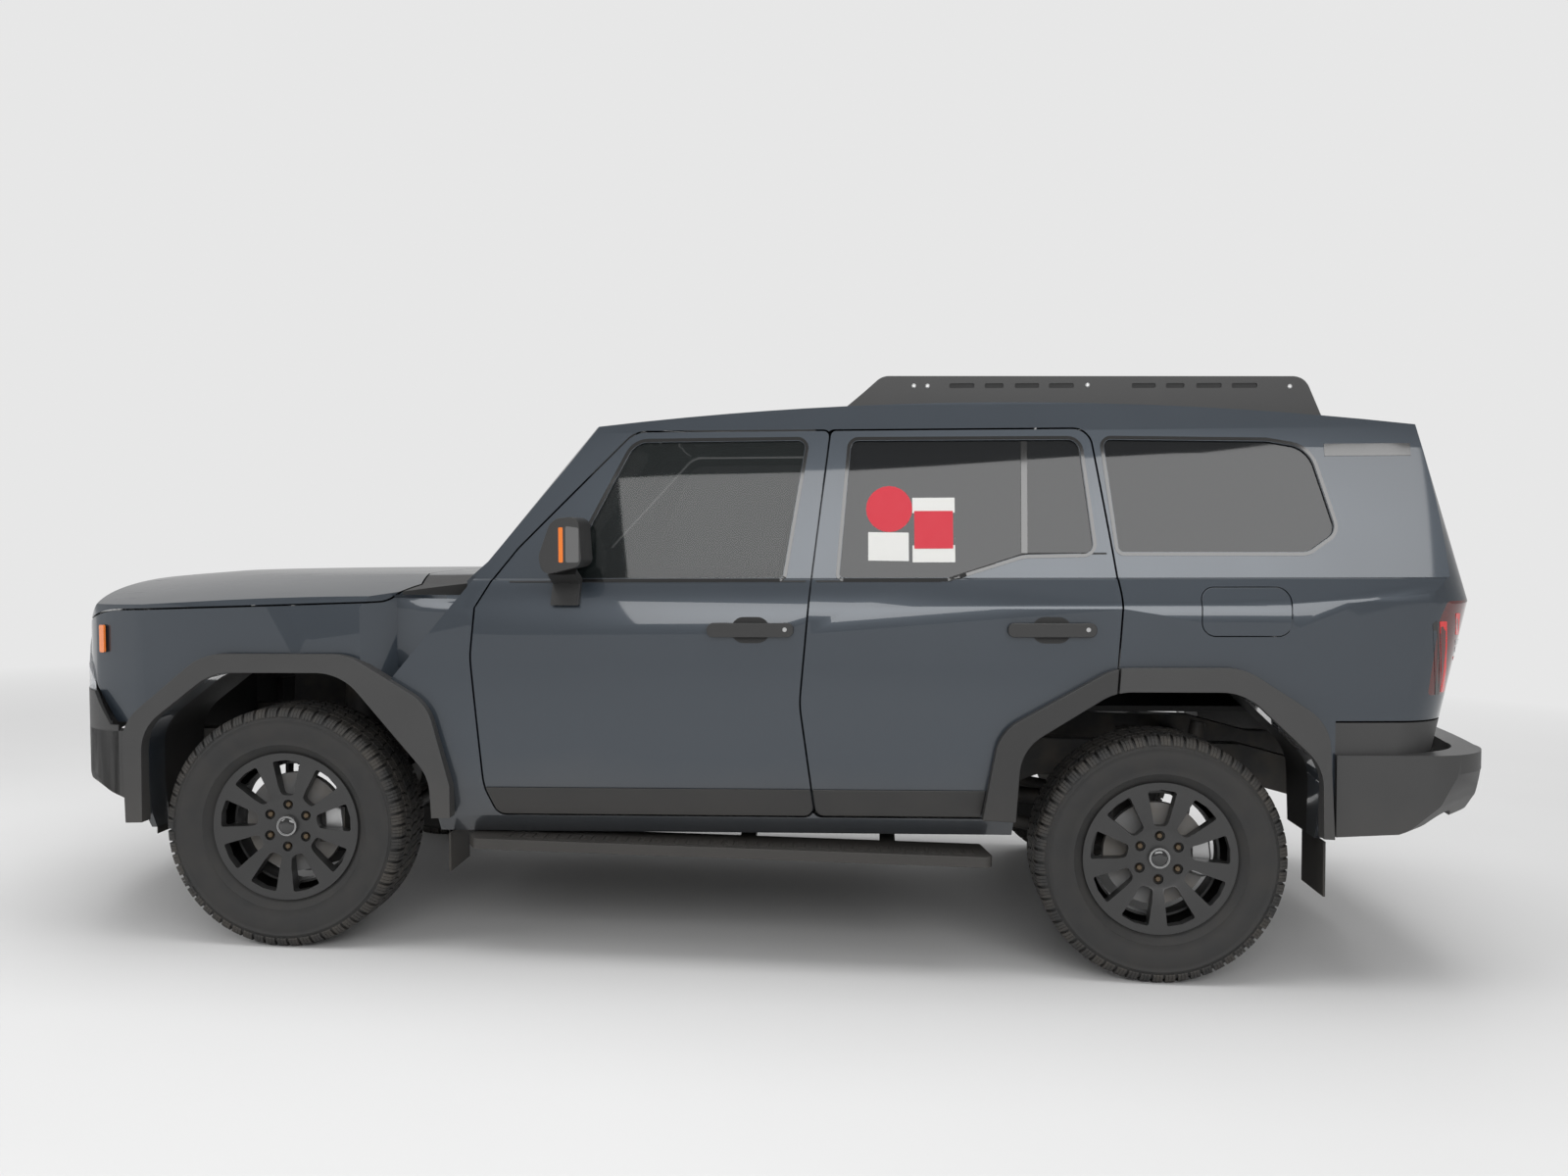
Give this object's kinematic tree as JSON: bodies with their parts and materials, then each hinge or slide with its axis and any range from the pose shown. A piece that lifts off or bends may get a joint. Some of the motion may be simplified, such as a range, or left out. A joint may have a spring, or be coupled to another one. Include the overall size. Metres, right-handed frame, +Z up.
{
  "type": "lifted off-road 4x4",
  "caption": "Lifted off-road estate on a ladder frame, with steered front wheels, wheels that turn, and opening doors, hood, tailgate and fuel flap.",
  "frame": {"origin": "on the ground under the middle of the vehicle's box", "axes": "+X forward, +Y to the left, +Z up"},
  "size_m": [4.915, 2.17, 1.971],
  "materials": {
    "paint": "metallic dark blue grey",
    "glass": "tinted",
    "tyre": "matte",
    "wheel_metal": "satin dark grey",
    "lamp": "clear lens",
    "tail_lamp": "red lens",
    "chassis_steel": "black",
    "upholstery": "woven",
    "rack": "textured black",
    "plastic": "grained dark grey"
  },
  "bodies": {
    "body": {"arch_flares": "plastic", "arch_liners": "plastic", "body_side_left": "paint", "body_side_right": "paint", "cowl_panel": "plastic", "dashboard": "plastic", "drive_shafts": "chassis_steel", "engine_block": "chassis_steel", "exhaust": "chassis_steel", "floor_pan": "plastic", "front_bumper": "plastic", "front_fenders": "paint", "front_seats": "upholstery", "front_suspension": "chassis_steel", "fuel_tank": "plastic", "gearbox": "chassis_steel", "grille": "plastic", "headlamps": "lamp", "ladder_frame": "chassis_steel", "quarter_glass": "glass", "radiator": "chassis_steel", "rear_axle": "chassis_steel", "rear_bench": "upholstery", "rear_bumper": "plastic", "roof_panel": "paint", "roof_rack": "rack", "side_steps": "plastic", "steering_wheel": "plastic", "tail_lamps": "tail_lamp", "windscreen": "glass"},
    "hood": {"hood": "paint"},
    "front_door_left": {"front_door_left": "paint", "front_door_trim_left": "plastic", "front_door_glass_left": "glass"},
    "front_door_right": {"front_door_right": "paint", "front_door_trim_right": "plastic", "front_door_glass_right": "glass"},
    "rear_door_left": {"rear_door_left": "paint", "rear_door_trim_left": "plastic", "rear_door_glass_left": "glass"},
    "rear_door_right": {"rear_door_right": "paint", "rear_door_trim_right": "plastic", "rear_door_glass_right": "glass"},
    "tailgate": {"tailgate": "paint", "tailgate_glass": "glass"},
    "fuel_door": {"fuel_door": "paint"},
    "steering_left": {"knuckle_left": "chassis_steel"},
    "steering_right": {"knuckle_right": "chassis_steel"},
    "wheel_front_left": {"wheel_front_left": "wheel_metal", "tyre_front_left": "tyre"},
    "wheel_front_right": {"wheel_front_right": "wheel_metal", "tyre_front_right": "tyre"},
    "wheel_rear_left": {"wheel_rear_left": "wheel_metal", "tyre_rear_left": "tyre"},
    "wheel_rear_right": {"wheel_rear_right": "wheel_metal", "tyre_rear_right": "tyre"}
  },
  "joints": [
    {"name": "steer_left", "type": "hinge", "parent": "body", "child": "steering_left", "pos_m": [1.505, 0.762, 0.398], "axis": [0, 0, 1], "range_deg": [-33, 33]},
    {"name": "spin_front_left", "type": "hinge", "parent": "steering_left", "child": "wheel_front_left", "pos_m": [1.505, 0.832, 0.398], "axis": [0, 1, 0], "continuous": true},
    {"name": "spin_rear_left", "type": "hinge", "parent": "body", "child": "wheel_rear_left", "pos_m": [-1.345, 0.832, 0.398], "axis": [0, 1, 0], "continuous": true},
    {"name": "front_door_hinge_left", "type": "hinge", "parent": "body", "child": "front_door_left", "pos_m": [0.88303, 0.956, 0.87644], "axis": [-0.027, 0, -0.9996], "range_deg": [0, 65]},
    {"name": "rear_door_hinge_left", "type": "hinge", "parent": "body", "child": "rear_door_left", "pos_m": [-0.18158, 0.957, 0.90524], "axis": [-0.027, 0, -0.9996], "range_deg": [0, 65]},
    {"name": "steer_right", "type": "hinge", "parent": "body", "child": "steering_right", "pos_m": [1.505, -0.762, 0.398], "axis": [0, 0, 1], "range_deg": [-33, 33]},
    {"name": "spin_front_right", "type": "hinge", "parent": "steering_right", "child": "wheel_front_right", "pos_m": [1.505, -0.832, 0.398], "axis": [0, 1, 0], "continuous": true},
    {"name": "spin_rear_right", "type": "hinge", "parent": "body", "child": "wheel_rear_right", "pos_m": [-1.345, -0.832, 0.398], "axis": [0, 1, 0], "continuous": true},
    {"name": "front_door_hinge_right", "type": "hinge", "parent": "body", "child": "front_door_right", "pos_m": [0.88303, -0.956, 0.87644], "axis": [0.027, 0, 0.9996], "range_deg": [0, 65]},
    {"name": "rear_door_hinge_right", "type": "hinge", "parent": "body", "child": "rear_door_right", "pos_m": [-0.18158, -0.957, 0.90524], "axis": [0.027, 0, 0.9996], "range_deg": [0, 65]},
    {"name": "hood_hinge", "type": "hinge", "parent": "body", "child": "hood", "pos_m": [1.08043, 0, 1.22122], "axis": [0, -1, 0], "range_deg": [0, 55]},
    {"name": "tailgate_hinge", "type": "hinge", "parent": "body", "child": "tailgate", "pos_m": [-2.09632, 0, 1.88339], "axis": [0, 1, 0], "range_deg": [0, 80]},
    {"name": "fuel_door_hinge", "type": "hinge", "parent": "body", "child": "fuel_door", "pos_m": [-1.44335, 0.9585, 1.18948], "axis": [-0.027, 0, -0.9996], "range_deg": [0, 85]}
  ],
  "couplings": [
    {"joint": "steer_right", "follows": "steer_left", "ratio": 1}
  ]
}
